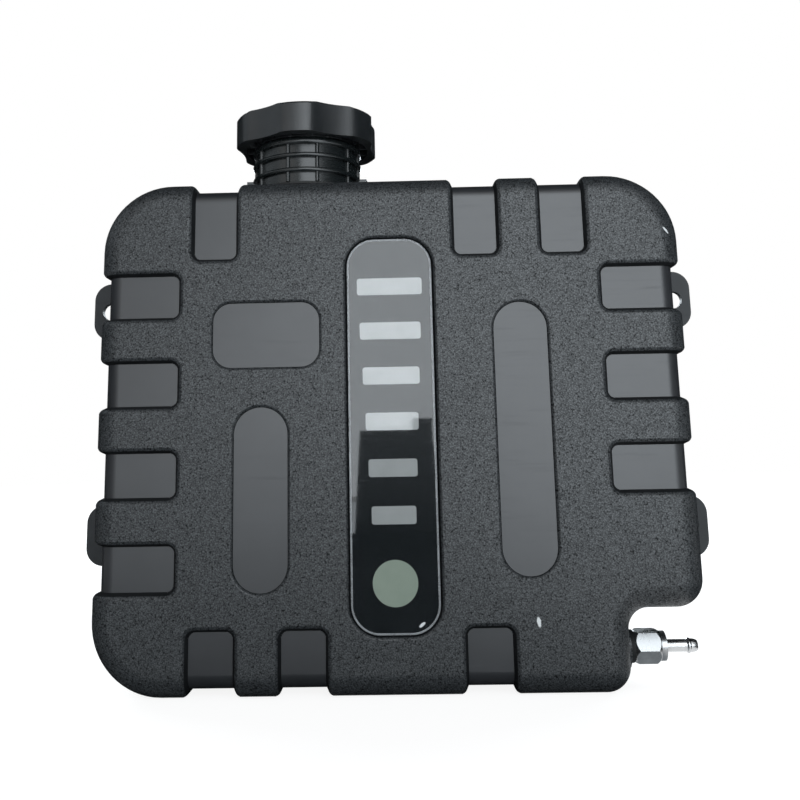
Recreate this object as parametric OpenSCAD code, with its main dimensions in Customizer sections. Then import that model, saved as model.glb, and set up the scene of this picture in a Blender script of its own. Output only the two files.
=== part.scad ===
// Flat moulded fuel tank for a parking heater: hollow body, screw-cap filler, level panel and hose outlet.
// Front is -Y, +Z is up, and the origin is the middle of the foot.

/* [Tank body] */
// Width over the side ridges
body_w = 307; // [280:1:340]
// Height from the foot to the top ridges
body_h = 262.5; // [250:0.5:290]
// Depth from front to rear
body_d = 76; // [70:1:90]
// Moulded wall thickness
wall = 3; // [2.5:0.1:3.6]
// Rounding of the front and rear rims
edge_r = 12; // [10:0.5:12.5]
// Radius of the three large outline corners
corner_r = 37; // [28:1:40]

/* [Corner cut-out] */
// Width of the cut-out for the outlet
cut_w = 38.3; // [34:0.1:44]
// Height of the cut-out
cut_h = 39.5; // [37:0.1:46]
// Fillet in the cut-out's inner corner
cut_fillet = 10; // [6:0.5:12]
// Radius of the outline corner above the cut-out
lobe_r = 14; // [13:0.5:16]
// Radius of the outline corner below the cut-out
foot_r = 12.6; // [12.6:0.1:13.4]

/* [Rim pads] */
// Pitch of the pads along every side
pad_pitch = 46; // [42:0.5:50]
// Width of a pad's floor
pad_w = 22; // [16:0.5:24]
// Depth of the pads below the skin
pad_depth = 4; // [3:0.1:4.5]
// Reach of the side and top pads from the rim over the front
pad_reach = 42.5; // [36:0.5:48]
// Reach of the pads along the foot
foot_pad_reach = 32; // [28:1:38]
// Radius of a pad's inner corners
pad_corner_r = 3.5; // [2:0.1:5]
// Slope of a pad's walls, in degrees
pad_slope = 65; // [55:1:75]
// Rounding of the skin where it turns down into a pad
shoulder_r = 3.2; // [2:0.1:4]

/* [Name plates] */
// Depth of the bare plate recesses
plate_depth = 1.6; // [1:0.1:2]
// Rounding of the skin where it turns down into a recess
recess_r = 2; // [1:0.1:2.6]
// Width of the small plate
small_plate_w = 55.3; // [46:0.1:60]
// Height of the small plate
small_plate_h = 33.6; // [28:0.1:38]
// Corner radius of the small plate
small_plate_r = 9.5; // [5:0.5:13]
// Width of the two tall plates
tall_plate_w = 27.4; // [22:0.1:30]
// Height of the left tall plate
left_plate_h = 91.4; // [70:0.1:100]
// Height of the right tall plate
right_plate_h = 137; // [100:0.5:150]
// Distance of the small plate's centre from the middle
small_plate_x = 64.6; // [62:0.1:68]
// Distance of the tall plates' centre lines from the middle
plate_x = 67.2; // [62:0.1:72]
// Height of the small plate's centre
small_plate_z = 178.9; // [172:0.1:186]
// Height of the left tall plate's centre
left_plate_z = 95.9; // [90:0.1:104]
// Height of the right tall plate's centre
right_plate_z = 124.9; // [116:0.1:134]

/* [Level gauge] */
// Width of the panel
panel_w = 43.4; // [38:0.2:50]
// Height of the panel
panel_h = 197.4; // [180:0.2:210]
// Corner radius of the panel
panel_r = 14; // [8:0.5:18]
// Thickness of the panel
panel_t = 1.8; // [1.5:0.1:2.4]
// Height of the panel's centre
panel_z = 129; // [122:0.5:136]
// Thickness of the adhesive sheet
tape_t = 0.6; // [0.4:0.1:1]
// Thickness of the clear film
film_t = 0.2; // [0.15:0.05:0.3]
// Overhang of the film beyond the panel
film_margin = 0.35; // [0.1:0.05:0.4]
// How far the film lies below the skin
panel_sink = 0.4; // [0.2:0.1:0.8]
// Gap round the panel in its pocket
panel_gap = 0.5; // [0.45:0.05:0.8]
// Width of the top bar
bar_w = 33.9; // [30:0.1:36]
// How much each bar is narrower than the one above
bar_step = 2.3; // [1:0.1:2.6]
// Height of a bar
bar_h = 8.9; // [6:0.1:11]
// Pitch of the bars
bar_pitch = 23.2; // [20:0.1:23.8]
// Corner radius of a bar
bar_r = 1.2; // [0.5:0.1:2]
// Thickness of the bars and the dot
mark_t = 0.8; // [0.5:0.1:1.1]
// Height of the top bar's centre
bar_top_z = 202.9; // [198:0.1:206]
// Diameter of the dot
dot_d = 22.5; // [18:0.5:25]
// Height of the dot's centre
dot_z = 54.2; // [52:0.1:60]

/* [Mounting ears] */
// Height of an ear
ear_h = 34; // [30:1:40]
// Thickness of an ear
ear_t = 4; // [3:0.5:5]
// Corner radius of an ear
ear_r = 10; // [6:0.5:12]
// Diameter of an ear's hole
ear_hole_d = 10; // [7:0.5:11]
// Distance of a hole's centre from the tank's side
ear_out = 14.5; // [13:0.5:20]
// Distance of an ear's tip from its hole's centre
ear_tip = 10; // [9:0.5:12]
// Distance between upper and lower holes
ear_pitch = 130; // [120:1:140]
// Height of the lower holes above the foot
ear_low_z = 73; // [68:0.5:80]

/* [Filler neck] */
// Clear bore of the neck
neck_bore = 46; // [40:0.5:47]
// Outer diameter of the neck's tube between its ribs
neck_d = 57.6; // [57:0.1:58.4]
// Outer diameter of the land for the cap's thread
land_d = 54; // [53:0.1:55]
// Outer diameter of the rings
ring_d = 62; // [61.8:0.1:63]
// Thickness of the two lower rings
ring_t = 2.4; // [2:0.1:2.6]
// Radius of the lower rings' rounded nose
ring_nose_r = 1.4; // [1.35:0.05:1.5]
// Thickness of the top ring
top_ring_t = 3.2; // [2.8:0.1:3.4]
// Radius of the top ring's rounded nose
top_nose_r = 2.3; // [2.2:0.1:3]
// Height of the top ring above the tank
neck_h = 25.5; // [24:0.1:30]
// Height of the lowest ring above the tank
ring_low = 7.6; // [6.5:0.1:9]
// Pitch of the two lower rings
ring_pitch = 8.35; // [7:0.05:9]
// Number of pairs of upright ribs
rib_pairs = 5; // [4:1:7]
// Width of an upright rib
rib_w = 2.2; // [1.6:0.1:2.6]
// Diameter over the upright ribs
rib_d = 60.4; // [60:0.1:60.5]
// Half of the angle between the ribs of a pair, in degrees
rib_spread = 16; // [8:1:20]
// Reach of the two locating lugs across the neck's base
lug_reach = 69; // [66:0.5:74]
// Width of a locating lug
lug_w = 12; // [8:0.5:16]
// Height of a locating lug
lug_h = 6.6; // [4:0.1:7]
// Height of the neck's land above the top ring
land_h = 12.4; // [11:0.1:16]
// Length of the spigot inside the tank
spigot_h = 9; // [6:0.5:14]
// Wall of the spigot
spigot_wall = 2.4; // [2:0.1:3]
// Clearance of the spigot in the tank's hole
spigot_gap = 0.15; // [0.05:0.05:0.3]
// Thickness of the seal under the neck
neck_seal_t = 1.2; // [0.8:0.1:2]

/* [Filler cap] */
// Diameter over the grip's lobes
cap_d = 82; // [80:0.5:88]
// Height of the grip
cap_h = 17; // [16:0.5:22]
// Number of lobes
lobe_count = 6; // [5:1:8]
// Depth of the hollows between the lobes
hollow_depth = 4; // [3:0.5:6]
// Radius of the hollows between the lobes
hollow_r = 46; // [24:1:60]
// Turn of the first lobe from the front, in degrees
lobe_turn = -3; // [-30:1:30]
// Rounding of the grip's top edge
cap_edge_r = 2.5; // [1:0.1:4]
// Thickness of the cap's roof
roof_t = 3; // [2.5:0.1:4]
// Wall of the grip at the hollows
grip_wall = 2.2; // [1.6:0.1:2.4]
// Number of stiffening ribs under the cap
stiffener_count = 18; // [8:1:24]
// Thickness of a stiffening rib under the cap
stiffener_t = 1.8; // [1.2:0.1:3]
// Height of the stiffening ribs' feet above the grip's lower edge
stiffener_rise = 0.8; // [0.4:0.1:3]
// Wall of the threaded sleeve
sleeve_wall = 2.6; // [2:0.1:3]
// Running gap between sleeve and neck
sleeve_gap = 0.4; // [0.3:0.05:0.6]
// Gap between the cap and the neck's top ring
cap_gap = 0.4; // [0.3:0.1:1]
// Depth of the dish in the cap's top
dish_depth = 0.8; // [0.4:0.1:1]
// Diameter of the dish in the cap's top
dish_d = 54; // [40:1:58]
// Thickness of the cap's gasket
gasket_t = 2; // [1.5:0.1:3]

/* [Cap breather] */
// Diameter of the valve's stem
valve_stem_d = 4; // [3:0.1:5]
// Diameter of the valve's flap
valve_d = 14; // [12:0.5:15]
// Thickness of the valve's flap
valve_t = 1.2; // [0.8:0.1:1.6]
// Diameter of the breather holes
breather_d = 1.6; // [1.2:0.1:2]
// Number of breather holes
breather_count = 3; // [2:1:6]
// Inner diameter of the baffle's seat
baffle_d = 20; // [18:0.5:24]
// Wall of the baffle's seat
baffle_wall = 2; // [1.5:0.1:3]
// Height of the baffle's seat below the roof
baffle_seat_h = 6; // [5:0.5:8]
// Thickness of the baffle
baffle_t = 1.5; // [1:0.1:2]

/* [Outlet] */
// Height of the outlet's axis
outlet_z = 15.7; // [14.5:0.1:20]
// Diameter of the boss round the outlet
boss_d = 22; // [20:0.5:24]
// How far the boss stands out of the cut-out's wall
boss_out = 5; // [4:0.5:8]
// How far the boss reaches into the tank
boss_in = 5; // [4:0.5:8]
// Diameter of the stem
stem_d = 10; // [9:0.5:10.5]
// Bore of the stem
stem_bore = 5; // [4:0.5:6]
// Diameter of the stem's head
head_d = 16; // [14:0.5:18]
// Thickness of the stem's head
head_t = 4; // [3:0.5:5]
// Thickness of the inner seal
inner_seal_t = 2.5; // [1.5:0.1:3]
// Diameter of the outer washer
washer_d = 16.4; // [15:0.1:20]
// Thickness of the outer washer
washer_t = 3; // [2:0.1:5]
// Distance across the nut's flats
nut_af = 15.6; // [15.4:0.1:18]
// Length of the nut's hexagon
nut_h = 13.4; // [13:0.1:18]
// Turn of the nut's hexagon, in degrees
nut_turn = 36; // [0:1:60]
// Diameter of the nut's round collar
collar_d = 14.8; // [14:0.1:15]
// Length of the nut's round collar
collar_h = 2.8; // [2:0.1:4]
// Chamfer of the nut's corners, across
nut_chamfer = 1.5; // [1.3:0.1:1.8]
// Chamfer of the nut's corners, along its axis
nut_chamfer_l = 2; // [1.2:0.1:2.6]
// Thickness of the nut's end wall
nut_end_wall = 4; // [3:0.1:5]
// Clearance round the stem and the tail
fit_gap = 0.1; // [0.05:0.01:0.2]
// Length of the stem inside the nut
stem_engage = 8.6; // [7:0.1:9]
// Thickness of the tail's seal
tail_seal_t = 1.3; // [0.8:0.1:1.5]
// Diameter of the hose tail's shank
tail_d = 6.2; // [5.6:0.1:6.6]
// Bore of the hose tail
tail_bore = 3.4; // [2.8:0.1:3.8]
// Length of the tail's plain shank beyond the nut
tail_l = 12; // [9:0.1:15]
// Diameter of the tail's bead
bead_d = 7.7; // [7.3:0.1:8.4]
// Length of the tail's tapered nose
nose_l = 5; // [4:0.1:7]
// Diameter of the tail's nose next to its bead
nose_d = 6.8; // [6.2:0.1:7]
// Diameter of the flat at the nose's tip
tip_d = 4.4; // [4:0.1:5]

/* [Hidden] */

$fn = 96;
over = 1;
min_fillet = 1;
fillet_step = 0.1;
right_angle = 90;

black_skin = [0.10, 0.11, 0.12];
black_cap = [0.07, 0.07, 0.08];
black_rubber = [0.05, 0.05, 0.05];
black_gloss = [0.03, 0.03, 0.035];
pale_mark = [0.70, 0.72, 0.73];
pale_dot = [0.55, 0.60, 0.56];
clear_film = [0.85, 0.88, 0.90, 0.25];
plated = [0.80, 0.81, 0.82];
brass_tone = [0.72, 0.58, 0.32];

front_y = -body_d / 2;
rear_y = body_d / 2;

pad_rows = [-1.5, -0.5, 0.5, 1.5];
left_pad_z = [for (row = pad_rows) body_h / 2 + row * pad_pitch];
right_pad_z = [for (row = [-0.5, 0.5, 1.5]) body_h / 2 + row * pad_pitch];
top_pad_x = [for (column = [-2, 1, 2]) column * pad_pitch];
foot_pad_x = [for (column = [-2, -1, 1]) column * pad_pitch];
neck_x = -pad_pitch;

shoulder_share = 0.8;
shoulder_end = 22;
shoulder_steps = 3;

pocket_depth = tape_t + panel_t + film_t + panel_sink;
tape_front_y = front_y + pocket_depth - tape_t;
panel_front_y = tape_front_y - panel_t;
bar_count = 6;
bar_z = [for (i = [0 : bar_count - 1]) bar_top_z - i * bar_pitch];

ear_hole_x = body_w / 2 + ear_out;
ear_root_x = body_w / 2 - edge_r - over;

ring_z = [for (i = [0 : 1]) body_h + ring_low + i * ring_pitch];
ring_top_z = body_h + neck_h;
neck_rim_z = ring_top_z + land_h;
cap_low_z = ring_top_z + cap_gap;
roof_low_z = neck_rim_z + gasket_t;
cap_top_z = max(cap_low_z + cap_h, roof_low_z + roof_t);
spigot_d = neck_bore + 2 * spigot_wall;
neck_hole_d = spigot_d + 2 * spigot_gap;
sleeve_bore = land_d + 2 * sleeve_gap;
sleeve_d = sleeve_bore + 2 * sleeve_wall;
grip_bore = cap_d - 2 * hollow_depth - 2 * grip_wall;
baffle_gap = 0.1;
edge_start = 20;

cut_x = body_w / 2 - cut_w;
boss_face_x = cut_x + boss_out;
seat_x = cut_x - wall - boss_in;
head_x = seat_x - inner_seal_t;
nut_x = boss_face_x + washer_t;
stem_end_x = nut_x + stem_engage;
tail_flange_x = stem_end_x + tail_seal_t;
nut_end_x = nut_x + nut_h + collar_h;
nut_shelf_x = nut_end_x - nut_end_wall;
nut_bore = stem_d + 2 * fit_gap;

// Half of a recess's cross-section, from its floor's edge at x up to the skin at y = 0, in thousandths.
// The shoulder turns no further down than most of the recess's depth.
function milli(v) = round(v * 1000) / 1000;
function recess_shoulder(depth, r) = min(r, shoulder_share * depth / (1 - cos(pad_slope)));
function recess_wall(floor_edge, depth, r) =
  let (
    shoulder = recess_shoulder(depth, r),
    top_x = floor_edge + (depth - shoulder * (1 - cos(pad_slope))) / tan(pad_slope) + shoulder * sin(pad_slope),
    turns = [for (i = [0 : shoulder_steps]) pad_slope + (shoulder_end - pad_slope) * i / shoulder_steps],
    lip_x = top_x - shoulder * sin(shoulder_end) + (over + shoulder * (1 - cos(shoulder_end))) / tan(shoulder_end)
  )
  concat(
    [[floor_edge, -depth]],
    [for (turn = turns) [milli(top_x - shoulder * sin(turn)), milli(shoulder * (cos(turn) - 1))]],
    [[milli(lip_x), over]]
  );
function end_section(r, depth, shoulder) = concat([[0, over], [0, -depth]], recess_wall(r, depth, shoulder));
function flare(depth, r) = recess_wall(0, depth, r)[shoulder_steps + 2][0];
function mirrored(points) = [for (i = [len(points) - 1 : -1 : 0]) [-points[i][0], points[i][1]]];
pad_half = pad_w / 2;
nose_steps = 6;
pad_side = recess_wall(pad_half, pad_depth, shoulder_r);
pad_section = concat(mirrored(pad_side), pad_side);
pad_end_section = end_section(pad_corner_r, pad_depth, shoulder_r);
pad_flare = flare(pad_depth, shoulder_r);

// Rounded rectangle about the origin.
module round_rect(w, h, r) {
  difference() {
    square([w, h], center = true);
    for (side_x = [-1, 1], side_y = [-1, 1])
      translate([side_x * (w / 2 - r), side_y * (h / 2 - r)])
        difference() {
          translate([side_x > 0 ? 0 : -r - over, side_y > 0 ? 0 : -r - over]) square(r + over);
          circle(r);
        }
  }
}

// Section through the tank's rim: x runs out to the rim, y through the depth.
module rim_section(reach, r, depth) {
  difference() {
    translate([0, -depth / 2]) square([reach, depth]);
    for (side = [-1, 1])
      translate([reach - r, side * (depth / 2 - r)])
        difference() {
          translate([0, side > 0 ? 0 : -r - over]) square(r + over);
          circle(r);
        }
  }
}

// A straight stretch of rim, starting at x, z and running anticlockwise.
module rim_run(x, z, turn, length, r, depth) {
  translate([x, 0, z]) rotate([0, -turn, 0]) translate([-r, 0, 0])
    linear_extrude(length) rim_section(r, r, depth);
}

// A quarter of rim round the corner centre x, z.
module rim_corner(x, z, turn, corner, r, depth) {
  translate([x, 0, z]) rotate([right_angle, 0, 0]) rotate([0, 0, turn])
    rotate_extrude(angle = right_angle) rim_section(corner, r, depth);
}

// The tank's rounded block, set in from the skin on every side.
module tank_block(inset) {
  r = max(edge_r - inset, min_fillet);
  depth = body_d - 2 * inset;
  big = max(corner_r - inset, r + fillet_step);
  lobe = max(lobe_r - inset, r + fillet_step);
  foot = max(foot_r - inset, r + fillet_step);
  fillet = cut_fillet + inset;
  left = -body_w / 2 + inset;
  right = body_w / 2 - inset;
  low = inset;
  high = body_h - inset;
  inner = cut_x - inset;
  step = cut_h + inset;
  fillet_reach = (fillet + r) * sqrt(2) - fillet;
  translate([0, depth / 2, 0]) rotate([right_angle, 0, 0]) linear_extrude(depth) polygon([
    [left + big, low + r], [inner - foot, low + r], [inner - foot, low + foot], [inner - r, low + foot],
    [inner - r, step + r], [right - lobe, step + r], [right - lobe, step + lobe], [right - r, step + lobe],
    [right - r, high - big], [right - big, high - big], [right - big, high - r],
    [left + big, high - r], [left + big, high - big], [left + r, high - big],
    [left + r, low + big], [left + big, low + big]
  ]);
  rim_corner(right - big, high - big, 0, big, r, depth);
  rim_corner(left + big, high - big, right_angle, big, r, depth);
  rim_corner(left + big, low + big, 2 * right_angle, big, r, depth);
  rim_corner(inner - foot, low + foot, 3 * right_angle, foot, r, depth);
  rim_corner(right - lobe, step + lobe, 3 * right_angle, lobe, r, depth);
  rim_run(right, step + lobe, 0, high - big - step - lobe, r, depth);
  rim_run(right - big, high, right_angle, right - left - 2 * big, r, depth);
  rim_run(left, high - big, 2 * right_angle, high - low - 2 * big, r, depth);
  rim_run(left + big, low, 3 * right_angle, inner - foot - left - big, r, depth);
  rim_run(inner, low + foot, 0, step - fillet - low - foot, r, depth);
  rim_run(inner + fillet, step, 3 * right_angle, right - lobe - inner - fillet, r, depth);
  translate([inner + fillet, 0, step - fillet]) rotate([right_angle, 0, 0]) rotate([0, 0, right_angle])
    rotate_extrude(angle = right_angle)
      translate([fillet + fillet_reach, 0]) mirror([1, 0]) rim_section(fillet_reach, r, depth);
}

// Cuts one pad into a rim: x runs in from the rim, y from front to rear, z along the rim.
module pad_cut(reach) {
  inner_x = reach - pad_corner_r;
  multmatrix([[0, 0, 1, edge_r], [0, -1, 0, 0], [1, 0, 0, 0], [0, 0, 0, 1]])
    linear_extrude(inner_x - edge_r) polygon(pad_section);
  translate([edge_r, edge_r, 0]) rotate([0, 0, 2 * right_angle])
    rotate_extrude(angle = right_angle) polygon([for (p = pad_section) [edge_r + p[1], p[0]]]);
  multmatrix([[0, -1, 0, 0], [0, 0, -1, body_d + over], [1, 0, 0, 0], [0, 0, 0, 1]])
    linear_extrude(body_d + over - edge_r) polygon(pad_section);
  for (side = [-1, 1])
    translate([inner_x, 0, side * (pad_half - pad_corner_r)]) rotate([right_angle, 0, 0])
      rotate([0, 0, side > 0 ? 0 : 3 * right_angle])
        rotate_extrude(angle = right_angle) polygon(pad_end_section);
  translate([inner_x, 0, pad_half - pad_corner_r]) rotate([2 * right_angle, 0, 0])
    linear_extrude(pad_w - 2 * pad_corner_r) polygon(pad_end_section);
}

// The space behind one pad that the wall takes up inside the tank.
module pad_backing(reach) {
  half = pad_half + pad_flare + wall;
  translate([-over, -over, -half]) cube([reach + pad_flare + wall + over, body_d + 2 * over, 2 * half]);
}

// Places children(0) at each side and top pad, and children(1) at each foot pad.
module at_pads() {
  for (z = left_pad_z) translate([-body_w / 2, front_y, z]) children(0);
  for (z = right_pad_z) mirror([1, 0, 0]) translate([-body_w / 2, front_y, z]) children(0);
  for (x = top_pad_x) translate([x, front_y, body_h]) rotate([0, right_angle, 0]) children(0);
  for (x = foot_pad_x) translate([x, front_y, 0]) rotate([0, -right_angle, 0]) children(1);
}

// A recess with sloping walls in the front face.
module front_recess(x, z, w, h, r, depth) {
  section = end_section(r, depth, recess_r);
  half_w = w / 2 - r;
  half_h = h / 2 - r;
  translate([x, front_y, z]) {
    translate([-half_w, -over, -half_h]) cube([2 * half_w, depth + over, 2 * half_h]);
    for (k = [0 : 3]) {
      out = k % 2 == 0 ? half_w : half_h;
      along = k % 2 == 0 ? half_h : half_w;
      rotate([0, -k * right_angle, 0]) translate([out, 0, along]) {
        rotate([2 * right_angle, 0, 0]) linear_extrude(2 * along) polygon(section);
        rotate([right_angle, 0, 0]) rotate_extrude(angle = right_angle) polygon(section);
      }
    }
  }
}

// The room that a recess and its wall take up inside the tank.
module recess_backing(x, z, w, h, r, depth) {
  grow = wall + flare(depth, recess_r);
  translate([x, front_y + depth + wall, z]) rotate([right_angle, 0, 0])
    linear_extrude(depth + wall + over) round_rect(w + 2 * grow, h + 2 * grow, r + grow);
}

// The plates and the gauge's pocket, as recesses or as the backing that they need.
module front_places(backing) {
  stadium_r = tall_plate_w / 2 - fillet_step;
  places = [
    [-small_plate_x, small_plate_z, small_plate_w, small_plate_h, small_plate_r, plate_depth],
    [-plate_x, left_plate_z, tall_plate_w, left_plate_h, stadium_r, plate_depth],
    [plate_x, right_plate_z, tall_plate_w, right_plate_h, stadium_r, plate_depth],
    [0, panel_z, panel_w + 2 * panel_gap, panel_h + 2 * panel_gap, panel_r + panel_gap, pocket_depth]
  ];
  for (p = places) {
    if (backing) recess_backing(p[0], p[1], p[2], p[3], p[4], p[5]);
    else front_recess(p[0], p[1], p[2], p[3], p[4], p[5]);
  }
}

module cavity() {
  difference() {
    union() {
      tank_block(pad_depth + wall);
      difference() {
        tank_block(wall);
        at_pads() {
          pad_backing(pad_reach);
          pad_backing(foot_pad_reach);
        }
      }
    }
    front_places(true);
  }
}

module ear_pair(z) {
  width = ear_hole_x + ear_tip - ear_root_x;
  for (side = [-1, 1])
    translate([side * (ear_root_x + width / 2), rear_y, z]) rotate([right_angle, 0, 0])
      linear_extrude(ear_t) round_rect(width, ear_h, ear_r);
}

module outlet_axis(x) {
  translate([x, 0, outlet_z]) rotate([0, right_angle, 0]) children();
}

// The moulded body, with its pads, plates, ears and outlet boss.
module tank_shell() {
  color(black_skin) difference() {
    union() {
      difference() {
        tank_block(0);
        at_pads() {
          pad_cut(pad_reach);
          pad_cut(foot_pad_reach);
        }
        cavity();
        front_places(false);
      }
      ear_pair(ear_low_z);
      ear_pair(ear_low_z + ear_pitch);
      outlet_axis(seat_x) cylinder(d = boss_d, h = boss_face_x - seat_x);
    }
    for (side = [-1, 1], z = [ear_low_z, ear_low_z + ear_pitch])
      translate([side * ear_hole_x, rear_y + over, z]) rotate([right_angle, 0, 0])
        cylinder(d = ear_hole_d, h = ear_t + 2 * over);
    translate([neck_x, 0, body_h - pad_depth - wall - over])
      cylinder(d = neck_hole_d, h = pad_depth + wall + 2 * over);
    outlet_axis(seat_x - over) cylinder(d = stem_d + 2 * fit_gap, h = boss_face_x - seat_x + 2 * over);
  }
}

// Ring round the neck with flat sides and a rounded nose.
module round_ring(height, nose_r) {
  rotate_extrude() intersection() {
    translate([0, -height / 2]) square([ring_d, height]);
    union() {
      translate([ring_d / 2 - nose_r, 0]) circle(nose_r);
      translate([0, -height]) square([ring_d / 2 - nose_r, 2 * height]);
    }
  }
}

// Ribbed neck with a spigot in the tank and a plain land for the cap's thread.
module filler_neck() {
  base_z = body_h + neck_seal_t;
  rib_h = ring_top_z - top_ring_t / 2 - base_z;
  color(black_cap) translate([neck_x, 0, 0]) difference() {
    union() {
      translate([0, 0, body_h - spigot_h]) cylinder(d = spigot_d, h = spigot_h + neck_seal_t);
      translate([0, 0, base_z]) cylinder(d = neck_d, h = ring_top_z - base_z);
      translate([0, 0, base_z]) cylinder(d = land_d, h = neck_rim_z - base_z);
      for (z = ring_z) translate([0, 0, z]) round_ring(ring_t, ring_nose_r);
      translate([0, 0, ring_top_z - top_ring_t / 2]) round_ring(top_ring_t, top_nose_r);
      for (i = [0 : rib_pairs - 1], side = [-1, 1])
        rotate([0, 0, side * rib_spread - right_angle + i * 360 / rib_pairs])
          translate([(rib_d - rib_w) / 2, 0, base_z]) cylinder(d = rib_w, h = rib_h);
      intersection() {
        translate([0, 0, base_z]) cylinder(d = lug_reach, h = lug_h);
        translate([-lug_reach, -lug_w / 2, base_z]) cube([2 * lug_reach, lug_w, lug_h]);
      }
    }
    translate([0, 0, body_h - spigot_h - over]) cylinder(d = neck_bore, h = neck_rim_z - body_h + spigot_h + 2 * over);
  }
}

module flat_ring(outer, inner, height) {
  difference() {
    cylinder(d = outer, h = height);
    translate([0, 0, -over]) cylinder(d = inner, h = height + 2 * over);
  }
}

module neck_seal() {
  color(black_rubber) translate([neck_x, 0, body_h]) flat_ring(neck_d, neck_hole_d, neck_seal_t);
}

// Outline of the grip: a round disc with hollows between its lobes.
module grip_outline() {
  difference() {
    circle(d = cap_d);
    for (i = [0 : lobe_count - 1])
      rotate(lobe_turn - right_angle + (i + 0.5) * 360 / lobe_count)
        translate([cap_d / 2 - hollow_depth + hollow_r, 0]) circle(hollow_r);
  }
}

// The grip's outside of revolution, with its rounded top edge and the dish in its top.
module grip_turning() {
  height = cap_top_z - cap_low_z;
  rotate_extrude() difference() {
    square([cap_d / 2 + over, height]);
    translate([cap_d / 2 - cap_edge_r * cos(edge_start), height - cap_edge_r]) difference() {
      square(cap_edge_r + 2 * over);
      circle(cap_edge_r);
    }
    translate([0, height - dish_depth]) square([dish_d / 2, dish_depth + over]);
  }
}

module filler_cap() {
  color(black_cap) translate([neck_x, 0, 0]) difference() {
    union() {
      difference() {
        translate([0, 0, cap_low_z]) intersection() {
          linear_extrude(cap_top_z - cap_low_z) grip_outline();
          grip_turning();
        }
        translate([0, 0, cap_low_z - over]) cylinder(d = grip_bore, h = roof_low_z - cap_low_z + over);
      }
      translate([0, 0, cap_low_z + cap_gap]) flat_ring(sleeve_d, sleeve_bore, roof_low_z - cap_low_z);
      for (i = [0 : stiffener_count - 1])
        rotate([0, 0, lobe_turn + i * 360 / stiffener_count])
          translate([(sleeve_d - sleeve_wall) / 2, -stiffener_t / 2, cap_low_z + stiffener_rise])
            cube([(grip_bore - sleeve_d + sleeve_wall + grip_wall) / 2, stiffener_t, roof_low_z - cap_low_z]);
      translate([0, 0, roof_low_z - baffle_seat_h])
        flat_ring(baffle_d + 2 * baffle_wall, baffle_d, baffle_seat_h + over);
    }
    translate([0, 0, roof_low_z - over]) cylinder(d = valve_stem_d, h = roof_t + cap_h);
    for (i = [0 : breather_count - 1])
      rotate([0, 0, i * 360 / breather_count]) translate([valve_d / 4 + valve_stem_d / 4, 0, roof_low_z - over])
        cylinder(d = breather_d, h = roof_t + cap_h);
  }
}

module cap_gasket() {
  color(black_rubber) translate([neck_x, 0, neck_rim_z]) flat_ring(land_d, neck_bore, gasket_t);
}

// Umbrella valve: a flap under the roof on a stem through it.
module vent_valve() {
  stem_top = cap_top_z - dish_depth;
  color(black_rubber) translate([neck_x, 0, 0]) {
    translate([0, 0, roof_low_z - valve_t]) cylinder(d1 = valve_d - valve_t, d2 = valve_d, h = valve_t);
    translate([0, 0, roof_low_z - valve_t]) cylinder(d = valve_stem_d, h = stem_top - roof_low_z + valve_t);
  }
}

// Splash plate clipped into the seat below the valve.
module splash_baffle() {
  color(black_cap) translate([neck_x, 0, roof_low_z - baffle_seat_h]) difference() {
    cylinder(d = baffle_d - 2 * baffle_gap, h = baffle_t);
    for (i = [0 : breather_count - 1])
      rotate([0, 0, (i + 0.5) * 360 / breather_count]) translate([valve_d / 2, 0, -over])
        cylinder(d = breather_d, h = baffle_t + 2 * over);
  }
}

// A sheet of the panel's outline, grown by margin, whose front lies at y.
module panel_sheet(y, thickness, margin) {
  translate([0, y + thickness, panel_z]) rotate([right_angle, 0, 0])
    linear_extrude(thickness) round_rect(panel_w + 2 * margin, panel_h + 2 * margin, panel_r + margin);
}

module gauge_tape() {
  color(black_rubber) panel_sheet(tape_front_y, tape_t, 0);
}

module bar_block(i) {
  translate([0, panel_front_y + mark_t, bar_z[i]]) rotate([right_angle, 0, 0])
    linear_extrude(mark_t) round_rect(bar_w - i * bar_step, bar_h, bar_r);
}

module dot_block() {
  translate([0, panel_front_y + mark_t, dot_z]) rotate([right_angle, 0, 0]) cylinder(d = dot_d, h = mark_t);
}

module gauge_panel() {
  color(black_gloss) difference() {
    panel_sheet(panel_front_y, panel_t, 0);
    for (i = [0 : bar_count - 1]) bar_block(i);
    dot_block();
  }
}

module gauge_film() {
  color(clear_film) panel_sheet(panel_front_y - film_t, film_t, film_margin);
}

module level_bar(i) {
  color(pale_mark) bar_block(i);
}

module level_dot() {
  color(pale_dot) dot_block();
}

module outlet_stem() {
  color(brass_tone) difference() {
    union() {
      outlet_axis(head_x - head_t) cylinder(d = head_d, h = head_t);
      outlet_axis(head_x - head_t) cylinder(d = stem_d, h = stem_end_x - head_x + head_t);
    }
    outlet_axis(head_x - head_t - over) cylinder(d = stem_bore, h = stem_end_x - head_x + head_t + 2 * over);
  }
}

module outlet_inner_seal() {
  color(black_rubber) outlet_axis(head_x) flat_ring(head_d, stem_d + 2 * fit_gap, inner_seal_t);
}

module outlet_washer() {
  color(black_rubber) outlet_axis(boss_face_x) flat_ring(washer_d, stem_d + 2 * fit_gap, washer_t);
}

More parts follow.
